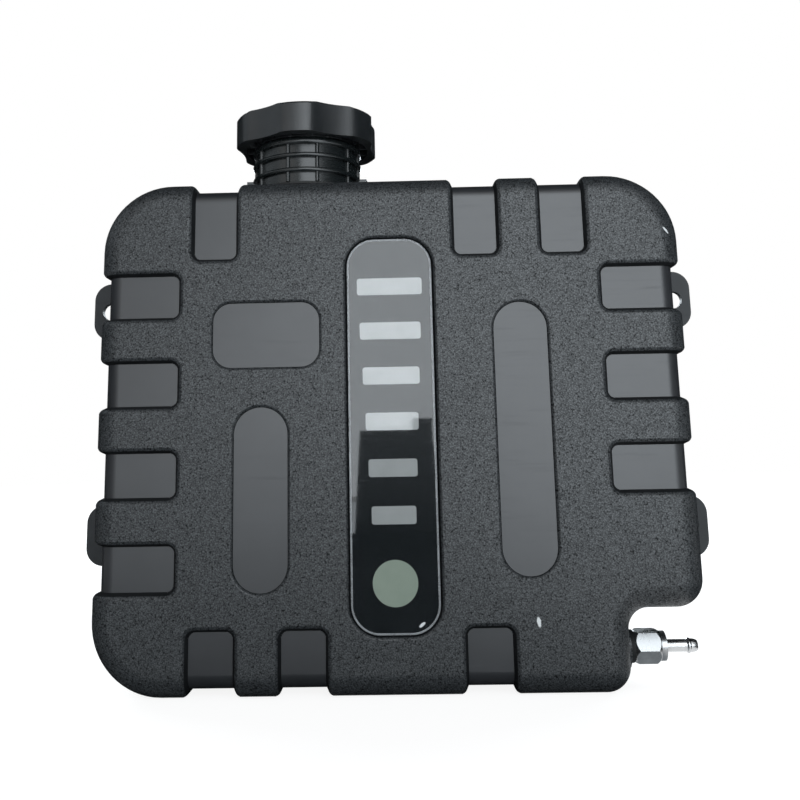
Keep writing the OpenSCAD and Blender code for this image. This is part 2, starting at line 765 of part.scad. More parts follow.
// Hex nut with chamfered corners, a round collar and a shelf that holds the tail's flange.
module union_nut() {
  across_corners = nut_af / cos(30);
  chamfer_d = across_corners - 2 * nut_chamfer;
  color(plated) difference() {
    union() {
      intersection() {
        outlet_axis(nut_x) rotate([0, 0, nut_turn]) cylinder(d = across_corners, h = nut_h, $fn = 6);
        outlet_axis(nut_x) rotate_extrude() polygon([
          [0, 0], [chamfer_d / 2, 0], [chamfer_d / 2 + 2 * nut_chamfer, 2 * nut_chamfer_l],
          [chamfer_d / 2 + 2 * nut_chamfer, nut_h - 2 * nut_chamfer_l], [chamfer_d / 2, nut_h], [0, nut_h]
        ]);
      }
      outlet_axis(nut_x + nut_h / 2) cylinder(d = collar_d, h = nut_h / 2 + collar_h);
    }
    outlet_axis(nut_x - over) cylinder(d = nut_bore, h = nut_shelf_x - nut_x + over);
    outlet_axis(nut_x) cylinder(d = tail_d + 2 * fit_gap, h = nut_h + collar_h + over);
  }
}

module tail_seal() {
  color(black_rubber) outlet_axis(stem_end_x) flat_ring(stem_d, stem_bore, tail_seal_t);
}

// Hose tail: a flange inside the nut, a plain shank, a bead and a rounded nose.
module hose_tail() {
  flange_t = nut_shelf_x - tail_flange_x;
  shank_end = nut_end_x + tail_l - tail_flange_x;
  bead_run = (bead_d - tail_d) / 2;
  nose_run = (bead_d - nose_d) / 2;
  nose_start = shank_end + bead_run + nose_run;
  nose_end = shank_end + nose_l;
  nose_turns = [for (i = [0 : nose_steps]) right_angle * i / nose_steps];
  color(plated) outlet_axis(tail_flange_x) rotate_extrude() polygon(concat(
    [
      [tail_bore / 2, 0], [stem_d / 2, 0], [stem_d / 2, flange_t], [tail_d / 2, flange_t],
      [tail_d / 2, shank_end - bead_run], [bead_d / 2, shank_end], [bead_d / 2, shank_end + bead_run]
    ],
    [for (turn = nose_turns)
      [(tip_d + (nose_d - tip_d) * cos(turn)) / 2, nose_start + (nose_end - nose_start) * sin(turn)]],
    [[tail_bore / 2, nose_end]]
  ));
}

tank_shell();
filler_neck();
neck_seal();
filler_cap();
cap_gasket();
vent_valve();
splash_baffle();
gauge_tape();
gauge_panel();
gauge_film();
level_bar(0);  // level_bar_1
level_bar(1);  // level_bar_2
level_bar(2);  // level_bar_3
level_bar(3);  // level_bar_4
level_bar(4);  // level_bar_5
level_bar(5);  // level_bar_6
level_dot();
outlet_stem();
outlet_inner_seal();
outlet_washer();
union_nut();
tail_seal();
hose_tail();
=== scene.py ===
# %% [markdown]
# Parking heater fuel tank.
# The imported CAD model is the frame of this lesson: every solid already stands where it belongs, in metres.
# We could model the tank again in Blender, but then the two would drift apart. So the frame is loaded first,
# and the steps that follow only give it finishes, light and a camera.

import math

import bmesh
import bpy
from mathutils import Matrix, Vector


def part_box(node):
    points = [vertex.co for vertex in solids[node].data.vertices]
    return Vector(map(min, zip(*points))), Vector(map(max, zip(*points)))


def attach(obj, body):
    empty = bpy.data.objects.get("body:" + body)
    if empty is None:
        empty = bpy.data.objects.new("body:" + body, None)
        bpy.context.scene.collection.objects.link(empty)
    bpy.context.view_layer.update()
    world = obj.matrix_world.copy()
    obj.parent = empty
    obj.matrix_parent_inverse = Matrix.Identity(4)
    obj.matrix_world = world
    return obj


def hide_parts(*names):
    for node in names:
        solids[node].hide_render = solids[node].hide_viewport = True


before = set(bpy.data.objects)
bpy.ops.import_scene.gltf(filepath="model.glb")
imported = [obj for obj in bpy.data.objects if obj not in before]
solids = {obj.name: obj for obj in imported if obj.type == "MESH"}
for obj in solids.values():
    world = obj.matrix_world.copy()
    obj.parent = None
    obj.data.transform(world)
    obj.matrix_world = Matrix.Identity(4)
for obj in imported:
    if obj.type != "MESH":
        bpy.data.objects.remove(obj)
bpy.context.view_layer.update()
MM = 0.001
print("solids in the frame:", len(solids))

# %% [markdown]
# The camera stands in front of the tank, a little below its middle, and looks slightly up.
# Aiming with a Track To constraint is quick, but it can't give the small roll of a hand-held shot.
# So the three axes of the camera are worked out from pitch, yaw and roll, and put in its matrix.

# %% Camera
IMAGE_SIZE = 800
FOCAL_PIXELS = 926.62
VIEW_CENTRE = (375.42, 275.0)
CAMERA_PLACE = Vector((3.303, -514.675, 122.345)) * MM
PITCH = math.radians(10.302)
YAW = math.radians(-1.247)
ROLL = math.radians(-1.066)
SENSOR_WIDTH = 36.0
NEAREST_SEEN = 0.01

forward = Vector((math.sin(YAW) * math.cos(PITCH), math.cos(YAW) * math.cos(PITCH), math.sin(PITCH)))
level_right = Vector((math.cos(YAW), -math.sin(YAW), 0.0))
level_down = forward.cross(level_right)
right = math.cos(ROLL) * level_right - math.sin(ROLL) * level_down
down = math.sin(ROLL) * level_right + math.cos(ROLL) * level_down

camera_data = bpy.data.cameras.new("camera")
camera_data.sensor_width = SENSOR_WIDTH
camera_data.lens = FOCAL_PIXELS / IMAGE_SIZE * SENSOR_WIDTH
camera_data.shift_x = (IMAGE_SIZE / 2 - VIEW_CENTRE[0]) / IMAGE_SIZE
camera_data.shift_y = (VIEW_CENTRE[1] - IMAGE_SIZE / 2) / IMAGE_SIZE
camera_data.clip_start = NEAREST_SEEN
camera = bpy.data.objects.new("camera", camera_data)
turn = Matrix((right, -down, -forward)).transposed()
camera.matrix_world = Matrix.Translation(CAMERA_PLACE) @ turn.to_4x4()
bpy.context.collection.objects.link(camera)
bpy.context.scene.camera = camera
bpy.context.scene.view_settings.view_transform = "Standard"
print("lens of", round(camera_data.lens, 2), "mm")

# %% [markdown]
# Each material is a small node tree, so a few helpers keep the cells short. The first starts a material and
# hands back its Principled shader, the second adds a node, sets its values and joins what is given to its
# sockets. The others do sums, blend two colours, and spread a value from one range to another.

# %% Helpers for node trees
def start_material(name):
    material = bpy.data.materials.new(name)
    material.use_nodes = True
    tree = material.node_tree
    return material, tree, tree.nodes["Principled BSDF"]


def add_node(tree, kind, values=None, **settings):
    node = tree.nodes.new("ShaderNode" + kind)
    for key, value in settings.items():
        setattr(node, key, value)
    for socket, value in (values or {}).items():
        target = node.inputs[socket]
        if isinstance(value, bpy.types.NodeSocket):
            tree.links.new(value, target)
        else:
            target.default_value = value
    return node


def math_node(tree, operation, first, second=0.0, clamp=False):
    return add_node(tree, "Math", {0: first, 1: second}, operation=operation, use_clamp=clamp).outputs[0]


def blend_colours(tree, mask, low, high):
    mix = add_node(tree, "Mix", data_type="RGBA")
    tree.links.new(mask, mix.inputs[0])
    for socket, colour in ((mix.inputs[6], low), (mix.inputs[7], high)):
        if isinstance(colour, bpy.types.NodeSocket):
            tree.links.new(colour, socket)
        else:
            socket.default_value = (*colour, 1.0)
    return mix.outputs[2]


def spread(tree, value, low, high, to_low=0.0, to_high=1.0):
    values = {"Value": value, "From Min": low, "From Max": high, "To Min": to_low, "To Max": to_high}
    return add_node(tree, "MapRange", values, clamp=True).outputs["Result"]


def object_place(tree):
    return add_node(tree, "TexCoord").outputs["Object"]


def set_values(shader, **values):
    for name, value in values.items():
        shader.inputs[name.replace("_", " ")].default_value = value


print("node helpers ready")

# %% [markdown]
# Light in the studio is one large soft box in front of the tank, above the camera and a little to the right.
# A soft box that is small gives hard spots on satin plastic, and a bright sky from all round makes black look
# grey. So the box is large, and the world adds only a weak fill, while camera and reflections see a plain
# white room. A smaller box hangs straight behind the tank, hidden by it, so that the rear isn't lost in the
# dark, and two boxes behind it at the sides lift the flanks and the top. Those two give no shine, so the
# front edges stay dark.

# %% Soft box and room
BOX_WIDTH = 1.84
BOX_HEIGHT = 1.5
BOX_PLACE = (0.49, -1.6, 0.76)
BOX_RADIANCE = 3.4
BOX_TINT = (0.865, 0.943, 1.0)
REAR_WIDTH = 0.75
REAR_HEIGHT = 0.24
REAR_PLACE = (-0.08, 1.0, 0.425)
REAR_RADIANCE = 13.0
FLANK_SIZE = 0.9
FLANK_PLACE = (1.1, 0.9, 0.85)
FLANK_RADIANCE = 7.0
TANK_MIDDLE = (0.0, 0.0, 0.13)
ROOM_FILL = 0.22
ROOM_SEEN = 1.0


def hang_box(name, place, width, height, radiance, aim):
    light = bpy.data.lights.new(name, "AREA")
    light.shape = "RECTANGLE"
    light.color = BOX_TINT
    light.size = width
    light.size_y = height
    light.energy = radiance * math.pi * width * height
    lamp = bpy.data.objects.new(name, light)
    lamp.location = place
    lamp.rotation_euler = (Vector(aim) - Vector(place)).to_track_quat("-Z", "Y").to_euler()
    lamp.visible_camera = False
    bpy.context.collection.objects.link(lamp)
    print(name, "of", round(light.energy, 1), "watts")
    return lamp


for name, place, width, height, radiance in (
    ("soft_box", BOX_PLACE, BOX_WIDTH, BOX_HEIGHT, BOX_RADIANCE),
    ("rear_box", REAR_PLACE, REAR_WIDTH, REAR_HEIGHT, REAR_RADIANCE),
):
    hang_box(name, place, width, height, radiance, (place[0], 0.0, place[2]))
for name, side in (("left_box", -1.0), ("right_box", 1.0)):
    place = (side * FLANK_PLACE[0], *FLANK_PLACE[1:])
    flank = hang_box(name, place, FLANK_SIZE, FLANK_SIZE, FLANK_RADIANCE, TANK_MIDDLE)
    flank.visible_glossy = False


def seen_ray(tree):
    path = add_node(tree, "LightPath")
    first = math_node(tree, "MAXIMUM", path.outputs["Is Camera Ray"], path.outputs["Is Glossy Ray"])
    return math_node(tree, "MAXIMUM", first, path.outputs["Is Transmission Ray"])


world = bpy.data.worlds.new("white_room")
world.use_nodes = True
bpy.context.scene.world = world
room = world.node_tree
room_strength = spread(room, seen_ray(room), 0.0, 1.0, ROOM_FILL, ROOM_SEEN)
room.links.new(room_strength, room.nodes["Background"].inputs["Strength"])
room.nodes["Background"].inputs["Color"].default_value = (1.0, 1.0, 1.0, 1.0)
print("room fill of", ROOM_FILL)

# %% [markdown]
# The floor is a plain pale disc. A floor lit only by the lamp would turn grey far away and show where it
# ends. So it shines by itself up to white at a distance, and keeps some real light near the tank for a soft
# shadow. Light that the floor throws back comes from a plain grey.

# %% Floor
FLOOR_RADIUS = 3.0
FLOOR_DROP = 0.2 * MM
SHADOW_REACH = (0.35, 0.9)
FLOOR_GLOW = 0.88
FLOOR_LIT = 0.24
FLOOR_PLAIN = 0.8
FLOOR_SIDES = 64


def stage_object(name, form, material):
    mesh = bpy.data.meshes.new(name)
    form.to_mesh(mesh)
    form.free()
    piece = bpy.data.objects.new(name, mesh)
    piece.data.materials.append(material)
    bpy.context.collection.objects.link(piece)
    return piece


floor_finish, tree, shader = start_material("pale_floor")
tree.nodes.remove(shader)
distance = add_node(tree, "VectorMath", {0: object_place(tree)}, operation="LENGTH").outputs["Value"]
glow = spread(tree, distance, *SHADOW_REACH, FLOOR_GLOW, 1.0)
shine = add_node(tree, "Emission", {"Strength": glow}).outputs[0]
lit = add_node(tree, "BsdfDiffuse", {"Color": (FLOOR_LIT, FLOOR_LIT, FLOOR_LIT, 1.0)}).outputs[0]
plain = add_node(tree, "BsdfDiffuse", {"Color": (FLOOR_PLAIN, FLOOR_PLAIN, FLOOR_PLAIN, 1.0)}).outputs[0]
seen = add_node(tree, "AddShader", {0: shine, 1: lit}).outputs[0]
both = add_node(tree, "MixShader", {0: seen_ray(tree), 1: plain, 2: seen}).outputs[0]
tree.links.new(both, tree.nodes["Material Output"].inputs["Surface"])

disc = bmesh.new()
bmesh.ops.create_circle(disc, cap_ends=True, segments=FLOOR_SIDES, radius=FLOOR_RADIUS)
bmesh.ops.translate(disc, vec=(0.0, 0.0, -FLOOR_DROP), verts=disc.verts)
stage_object("floor", disc, floor_finish)
print("floor of", FLOOR_RADIUS, "m radius")

# %% [markdown]
# Polished black plastic has hardly a colour of its own: it shows what stands in front of it.
# The level panel reflects the bright soft box in its upper part and something dark in its lower part.
# We could paint that on, but it would stay put when the camera moves. So dark cards stand in front of the
# tank, as in a photographer's studio. More of them, at the sides, overhead and behind, keep the rounded edges
# of the tank dark, and grey and pale ones on the floor and at the left brighten what faces them. The upright
# card in front is dim and fades to black at its foot, like a person standing there.
# Only reflections see the cards; they give no shade and the camera looks through them.

# %% Cards
CARD_FRONT = -870.0
CARD_BACK = -10.0
CARD_TOP = 1100.0
CARD_LEFT = -750.0
CARD_RIGHT = 1250.0
CARD_REAR = 2000.0
BOX_FRONT = -1560.0
DARK_CARDS = {
    "card_on_floor": ((-100.0, CARD_FRONT, 1.0), (70.0, CARD_BACK, 2.0)),
    "card_near_left": ((-520.0, -180.0, 1.0), (-100.0, 90.0, 2.0)),
    "card_left": ((CARD_LEFT - 2.0, -420.0, 0.0), (CARD_LEFT, CARD_REAR, CARD_TOP)),
    "card_left_low": ((CARD_LEFT - 2.0, -900.0, 0.0), (CARD_LEFT, -420.0, 360.0)),
    "card_right": ((CARD_RIGHT, -1550.0, 0.0), (CARD_RIGHT + 2.0, CARD_REAR, CARD_TOP)),
    "card_above": ((CARD_LEFT, -550.0, CARD_TOP), (CARD_RIGHT, CARD_REAR, CARD_TOP + 2.0)),
    "card_behind": ((CARD_LEFT, CARD_REAR, 0.0), (CARD_RIGHT, CARD_REAR + 2.0, CARD_TOP)),
    "card_floor_behind": ((CARD_LEFT, 90.0, 1.0), (CARD_RIGHT, CARD_REAR, 2.0)),
    "card_under_foot": ((70.0, -290.0, 1.0), (120.0, CARD_BACK, 2.0)),
    "card_floor_right": ((175.0, -290.0, 1.0), (480.0, 90.0, 2.0)),
    "card_high_right": ((850.0, BOX_FRONT, 650.0), (1400.0, BOX_FRONT + 2.0, 1520.0)),
    "card_upper_left": ((-600.0, BOX_FRONT, 430.0), (-320.0, BOX_FRONT + 2.0, 1520.0)),
}
DIM_CARDS = {
    "card_upright": ((-51.0, CARD_FRONT - 2.0, 0.0), (50.0, CARD_FRONT, 140.0)),
    "card_raised": ((22.0, CARD_FRONT - 2.0, 139.0), (50.0, CARD_FRONT, 156.0)),
}
GREY_CARDS = {
    "card_under_outlet": ((121.0, CARD_BACK - 60.0, 1.0), (142.0, 80.0, 2.0)),
    "card_far_left": ((-520.0, CARD_FRONT, 1.0), (-100.0, -180.0, 2.0)),
}
LIGHT_GREY_CARDS = {
    "card_left_grey": ((CARD_LEFT + 1.0, -420.0, 420.0), (CARD_LEFT + 3.0, 160.0, 850.0)),
}
PALE_CARDS = {
    "card_right_floor": ((75.0, CARD_FRONT, 1.0), (700.0, -300.0, 2.0)),
}
BRIGHT_CARDS = {
    "card_front_floor": ((-700.0, BOX_FRONT, 1.0), (CARD_RIGHT, CARD_FRONT - 5.0, 2.0)),
}
CARD_SHINES = {
    "dark": (0.0, DARK_CARDS),
    "dim": (0.3, DIM_CARDS),
    "grey": (0.42, GREY_CARDS),
    "light_grey": (0.8, LIGHT_GREY_CARDS),
    "pale": (2.8, PALE_CARDS),
    "bright": (3.4, BRIGHT_CARDS),
}
CARD_BLACK = (0.004, 0.004, 0.004, 1.0)
CARD_ROUGHNESS = 0.9
CARD_FOOT = 9.0 * MM
FOOT_LEVEL = 1.0 * MM
DIM_TOP = 150.0 * MM


def card_material(name, shine):
    material, tree, shader = start_material(name)
    set_values(shader, Base_Color=CARD_BLACK, Roughness=CARD_ROUGHNESS, Specular_IOR_Level=0.0)
    set_values(shader, Emission_Color=(*BOX_TINT, 1.0), Emission_Strength=shine)
    material.cycles.emission_sampling = "NONE"
    if name == "dim_card":
        height = add_node(tree, "SeparateXYZ", {0: object_place(tree)}).outputs["Z"]
        rise = spread(tree, height, 0.0, DIM_TOP)
        tree.links.new(blend_colours(tree, rise, (0.0, 0.0, 0.0), BOX_TINT), shader.inputs["Emission Color"])
    return material


def stand_card(name, corners, finish):
    form = bmesh.new()
    bmesh.ops.create_cube(form, size=1.0)
    low, high = (Vector(corner) * MM for corner in corners)
    bmesh.ops.scale(form, vec=high - low, verts=form.verts)
    bmesh.ops.translate(form, vec=(high + low) / 2, verts=form.verts)
    card = stage_object(name, form, finish)
    card.visible_camera = False
    card.visible_diffuse = False
    card.visible_shadow = False
    card.visible_transmission = False
    card.visible_volume_scatter = False


for card_name, (shine, cards) in CARD_SHINES.items():
    finish = card_material(f"{card_name}_card", shine)
    for name, corners in cards.items():
        stand_card(name, corners, finish)
    print(card_name, "cards:", len(cards))
for vert in bpy.data.objects["card_upright"].data.vertices:
    if vert.co.z < FOOT_LEVEL:
        vert.co.x += math.copysign(CARD_FOOT, vert.co.x)

# %% [markdown]
# The skin of the tank has a pebbled grain, etched into its mould, a little under a millimetre across.
# Real bumps would need millions of faces. A Voronoi texture has round cells of one size, and a little noise
# bends them out of line, so together they give pebbles. Skin, neck, cap and rubber use this grain, so it is a
# node group. Besides the height it gives flecks: each pebble has a brightness of its own, stretched at both
# ends so that the few brightest and darkest stand out, as the worn tops and the deep pits of a real grain do.

# %% Node group: moulded grain
BEND_REACH = 0.6
PEBBLE_EDGE = (0.05, 0.9)
FINE_RATIO = 2.6
FINE_HEIGHT = 0.45
PEBBLE_SHARE = 0.6
TONE_SHARE = 0.3
GRAIN_MIDDLE = 0.575
GRAIN_SPREAD = 0.15
STRETCH_SQUARE = 6.0
STRETCH = (0.55, 1.45)
FLECK_REACH = 2.5


def start_group(name, inputs, outputs):
    group = bpy.data.node_groups.new(name, "ShaderNodeTree")
    for label, kind in inputs:
        group.interface.new_socket(label, in_out="INPUT", socket_type="NodeSocket" + kind)
    for label in outputs:
        group.interface.new_socket(label, in_out="OUTPUT", socket_type="NodeSocketFloat")
    source = group.nodes.new("NodeGroupInput")
    sink = group.nodes.new("NodeGroupOutput")
    return group, source, sink


grain_group, source, sink = start_group(
    "moulded_grain", [("Place", "Vector"), ("Pebbles per metre", "Float")], ["Height", "Fleck"]
)
place = source.outputs["Place"]
count = source.outputs["Pebbles per metre"]
bend = add_node(grain_group, "TexNoise", {"Vector": place, "Scale": count, "Detail": 1.0}).outputs["Color"]
centred = add_node(grain_group, "VectorMath", {0: bend, 1: (0.5, 0.5, 0.5)}, operation="SUBTRACT").outputs[0]
reach = math_node(grain_group, "DIVIDE", BEND_REACH, count)
offset = add_node(grain_group, "VectorMath", {0: centred, "Scale": reach}, operation="SCALE").outputs[0]
bent = add_node(grain_group, "VectorMath", {0: place, 1: offset}, operation="ADD").outputs[0]
cells = add_node(grain_group, "TexVoronoi", {"Vector": bent, "Scale": count})
pebble = spread(grain_group, cells.outputs["Distance"], *PEBBLE_EDGE, 1.0, 0.0)
fine_count = math_node(grain_group, "MULTIPLY", count, FINE_RATIO)
fine = add_node(grain_group, "TexNoise", {"Vector": place, "Scale": fine_count, "Detail": 2.0}).outputs["Fac"]
height = math_node(grain_group, "ADD", pebble, math_node(grain_group, "MULTIPLY", fine, FINE_HEIGHT))
grain_group.links.new(height, sink.inputs["Height"])
tone = add_node(grain_group, "SeparateColor", {0: cells.outputs["Color"]}).outputs[0]
mixed = math_node(grain_group, "MULTIPLY", pebble, PEBBLE_SHARE)
for part in (tone, fine):
    mixed = math_node(grain_group, "ADD", mixed, math_node(grain_group, "MULTIPLY", part, TONE_SHARE))
off_middle = math_node(grain_group, "SUBTRACT", mixed, GRAIN_MIDDLE)
centred = math_node(grain_group, "DIVIDE", off_middle, GRAIN_SPREAD)
square = math_node(grain_group, "MULTIPLY", centred, centred)
growth = spread(grain_group, square, 0.0, STRETCH_SQUARE, *STRETCH)
uneven = math_node(grain_group, "MULTIPLY", centred, growth)
fleck = spread(grain_group, uneven, -FLECK_REACH, FLECK_REACH)
grain_group.links.new(fleck, sink.inputs["Fleck"])
print("group", grain_group.name, "has", len(grain_group.nodes), "nodes")

# %% [markdown]
# Nothing that is handled stays even: plastic gets dull patches, rubbed streaks and a little dust.
# One group gives all of that as three masks: wide clouds, fine streaks, and a few small nicks far apart.

# %% Node group: handling marks
CLOUD_LIMITS = (0.3, 0.7)
STREAK_LIMITS = (0.55, 0.75)
STREAK_TURN = (0.4, 0.7, 0.3)
STREAK_SCALE = (40.0, 260.0, 900.0)
NICKS_PER_METRE = 16.0
NICK_EDGE = (0.009, 0.014)
marks_group, source, sink = start_group(
    "handling_marks", [("Place", "Vector"), ("Clouds per metre", "Float")], ["Clouds", "Streaks", "Nicks"]
)
place = source.outputs["Place"]
cloud_values = {"Vector": place, "Scale": source.outputs["Clouds per metre"], "Detail": 4.0, "Roughness": 0.6}
clouds = add_node(marks_group, "TexNoise", cloud_values).outputs["Fac"]
marks_group.links.new(spread(marks_group, clouds, *CLOUD_LIMITS), sink.inputs["Clouds"])
stretched = add_node(
    marks_group, "Mapping", {"Vector": place, "Rotation": STREAK_TURN, "Scale": STREAK_SCALE}
).outputs[0]
streaks = add_node(marks_group, "TexNoise", {"Vector": stretched, "Scale": 1.0, "Detail": 3.0}).outputs["Fac"]
marks_group.links.new(spread(marks_group, streaks, *STREAK_LIMITS), sink.inputs["Streaks"])
spots = add_node(marks_group, "TexVoronoi", {"Vector": place, "Scale": NICKS_PER_METRE})
near = spread(marks_group, spots.outputs["Distance"], *NICK_EDGE, 1.0, 0.0)
chance = add_node(marks_group, "SeparateColor", {0: spots.outputs["Color"]}).outputs[0]
marks_group.links.new(math_node(marks_group, "MULTIPLY", near, chance), sink.inputs["Nicks"])
print("group", marks_group.name, "has", len(marks_group.nodes), "nodes")


def use_group(tree, group, values):
    node = tree.nodes.new("ShaderNodeGroup")
    node.node_tree = group
    for socket, value in values.items():
        if isinstance(value, bpy.types.NodeSocket):
            tree.links.new(value, node.inputs[socket])
        else:
            node.inputs[socket].default_value = value
    return node


def raise_bump(tree, shader, height, depth, strength=1.0):
    values = {"Height": height, "Distance": depth, "Strength": strength}
    bump = add_node(tree, "Bump", values)
    tree.links.new(bump.outputs["Normal"], shader.inputs["Normal"])


# %% [markdown]
# The tank's skin is black polythene. Its pebbles shine on their tops and stay dull between them.
# A strong bump would glitter where the light comes in flat. So the bump is slight, and the same pebbles also
# vary the colour and a thin glossy coat, which gives the same even grain in bright and in dim places.
# Two chips have gone through the dark skin, at the upper right corner and above the foot. Each is an
# ellipsoid in the tank's own coordinates, whose edge the grain makes ragged.

# %% Grained skin
SKIN_DARK = (0.0012, 0.0013, 0.0014)
SKIN_PALE = (0.049, 0.0533, 0.057)
# The same pale colour also paints the glint on the film's lifted spot.
NICK_AND_GLINT_PALE = (0.62, 0.63, 0.63)
PEBBLES_PER_METRE = 1300.0
SKIN_CLOUDS = 22.0
SKIN_ROUGHNESS = (0.42, 0.52)
COATED_FLECKS = (0.12, 0.82)
COAT_ROUGHNESS = 0.42
PEBBLE_DEPTH = 0.1 * MM
RAGGED_SHARE = 0.5
CHIP_EDGE = (1.0, 1.3)
CHIPS = (
    {"centre": (145.5, -34.0, 229.6), "lean": -40.0, "reach": (0.6, 14.0, 2.5)},
    {"centre": (69.6, -38.0, 35.2), "lean": -8.5, "reach": (1.0, 6.0, 2.7)},
)


def chip_and_glint_mask(tree, place, fleck, chip):
    values = {"Vector": place, "Location": Vector(chip["centre"]) * MM, "Scale": Vector(chip["reach"]) * MM}
    values["Rotation"] = (0.0, math.radians(chip["lean"]), 0.0)
    local = add_node(tree, "Mapping", values, vector_type="TEXTURE").outputs[0]
    away = add_node(tree, "VectorMath", {0: local}, operation="LENGTH").outputs["Value"]
    ragged = math_node(tree, "ADD", away, math_node(tree, "MULTIPLY", fleck, RAGGED_SHARE))
    return spread(tree, ragged, *CHIP_EDGE, 1.0, 0.0)


skin_finish, tree, shader = start_material("grained_skin")
place = object_place(tree)
grain = use_group(tree, grain_group, {"Place": place, "Pebbles per metre": PEBBLES_PER_METRE})
marks = use_group(tree, marks_group, {"Place": place, "Clouds per metre": SKIN_CLOUDS})
base = blend_colours(tree, grain.outputs["Fleck"], SKIN_DARK, SKIN_PALE)
bare = marks.outputs["Nicks"]
for chip in CHIPS:
    bare = math_node(tree, "MAXIMUM", bare, chip_and_glint_mask(tree, place, grain.outputs["Fleck"], chip))
tree.links.new(blend_colours(tree, bare, base, NICK_AND_GLINT_PALE), shader.inputs["Base Color"])
rough = spread(tree, marks.outputs["Clouds"], 0.0, 1.0, *SKIN_ROUGHNESS)
tree.links.new(rough, shader.inputs["Roughness"])
tree.links.new(spread(tree, grain.outputs["Fleck"], *COATED_FLECKS), shader.inputs["Coat Weight"])
set_values(shader, IOR=1.22, Coat_Roughness=COAT_ROUGHNESS, Coat_IOR=1.49)
raise_bump(tree, shader, grain.outputs["Height"], PEBBLE_DEPTH)
print("finish:", skin_finish.name)

# %% [markdown]
# Pads and plates left the mould smooth. They have a satin gloss that shows the soft box as a pale sheen.
# A single roughness would look like a computer model, so streaks vary it, clouds vary the colour, and a
# slight bump gives faint flow marks. The walls of the recesses are rougher and much darker in colour: that
# darker colour is painted shade, where the walls of a recess fall into shadow. The flat ears are duller. All
# three are made the same way, so one function makes them.

# %% Smooth pads, walls with painted shade, and ears
def clouded(name, dark, pale, clouds_per_metre, roughness, bump_depth=0.0, bump_strength=0.0, **values):
    material, tree, shader = start_material(name)
    place = object_place(tree)
    marks = use_group(tree, marks_group, {"Place": place, "Clouds per metre": clouds_per_metre})
    tree.links.new(blend_colours(tree, marks.outputs["Clouds"], dark, pale), shader.inputs["Base Color"])
    rough = spread(tree, marks.outputs["Streaks"], 0.0, 1.0, *roughness)
    tree.links.new(rough, shader.inputs["Roughness"])
    set_values(shader, **values)
    if bump_depth:
        raise_bump(tree, shader, marks.outputs["Clouds"], bump_depth, bump_strength)
    return material


pad_finish = clouded(
    "smooth_pad",
    dark=(0.0165, 0.0175, 0.0195),
    pale=(0.0225, 0.0235, 0.026),
    clouds_per_metre=30.0,
    roughness=(0.36, 0.44),
    bump_depth=0.05 * MM,
    bump_strength=0.3,
    IOR=1.59,
)
# The recess walls are much darker than the skin: painted shade in the recesses.
shaded_wall_finish = clouded(
    "recess_wall",
    dark=(0.004, 0.0045, 0.005),
    pale=(0.009, 0.01, 0.011),
    clouds_per_metre=60.0,
    roughness=(0.55, 0.7),
    Specular_IOR_Level=0.2,
)
ear_finish = clouded(
    "dull_ear",
    dark=(0.016, 0.0175, 0.019),
    pale=(0.026, 0.028, 0.03),
    clouds_per_metre=60.0,
    roughness=(0.5, 0.62),
    bump_depth=0.08 * MM,
    bump_strength=0.4,
    IOR=1.36,
)
print("finishes:", pad_finish.name, shaded_wall_finish.name, ear_finish.name)

# %% [markdown]
# Skin, pads, walls and ears are one moulding, so they stay one mesh, and each face gets one of the four
# finishes. We could paint masks, but the pads have exact places: how deep a face lies below the tank's
# rounded outer form says what it is. Depth 0 is skin, full depth is a pad, what lies between is a wall in the
# darker colour of painted shade, and an ear stands outside. A flat face at the depth of the front plates
# counts as a pad. The grain runs on over the rounded shoulder of each recess, so a shallow face that still
# looks outward is skin too, and the painted shade starts below it.

# %% Tank shell in four finishes
HALF_WIDTH = 153.5
HEIGHT = 262.5
HALF_DEPTH = 38.0
CORNER = 37.0
EDGE = 12.0
NOTCH_SIDE = 92.0
NOTCH_TOP = 62.0
WALL_DEPTHS = (0.3, 3.6)
PLATE_DEPTH = 1.6
PLATE_SLACK = 0.1
FRONT_FACING = -0.98
EAR_DEPTH = -0.3
SHARP_TURN = math.radians(32)
SHOULDER_DEPTH = 1.5
SHOULDER_TILT = 0.45
TILT_STEP = 0.1
FLAT_TURN = math.radians(0.2)
SAME_PLACE = 0.002 * MM
BEVEL_STEPS = 2
SKIN, PAD, SHADED_WALL, EAR = range(4)


def depth_below_skin(point):
    across = abs(point.x) / MM - (HALF_WIDTH - CORNER)
    upward = abs(point.z / MM - HEIGHT / 2) - (HEIGHT / 2 - CORNER)
    outside = math.hypot(max(across, 0.0), max(upward, 0.0)) + min(max(across, upward), 0.0)
    inward = CORNER - outside
    backward = HALF_DEPTH - abs(point.y) / MM
    if inward >= EDGE:
        return backward
    if backward >= EDGE:
        return inward
    return EDGE - math.hypot(EDGE - inward, EDGE - backward)


def finish_of_face(face):
    centre = face.calc_center_median()
    depth = depth_below_skin(centre)
    if centre.x / MM > NOTCH_SIDE and centre.z / MM < NOTCH_TOP:
        return SKIN
    if depth < EAR_DEPTH:
        return EAR
    if depth < WALL_DEPTHS[0]:
        return SKIN
    outer_depth = depth_below_skin(centre + face.normal * TILT_STEP * MM)
    if depth < SHOULDER_DEPTH and (depth - outer_depth) / TILT_STEP > SHOULDER_TILT:
        return SKIN
    plate_floor = abs(depth - PLATE_DEPTH) < PLATE_SLACK and face.normal.y < FRONT_FACING
    if depth > WALL_DEPTHS[1] or plate_floor:
        return PAD
    # A face between the two depths is a recess wall and gets the painted shade.
    return SHADED_WALL


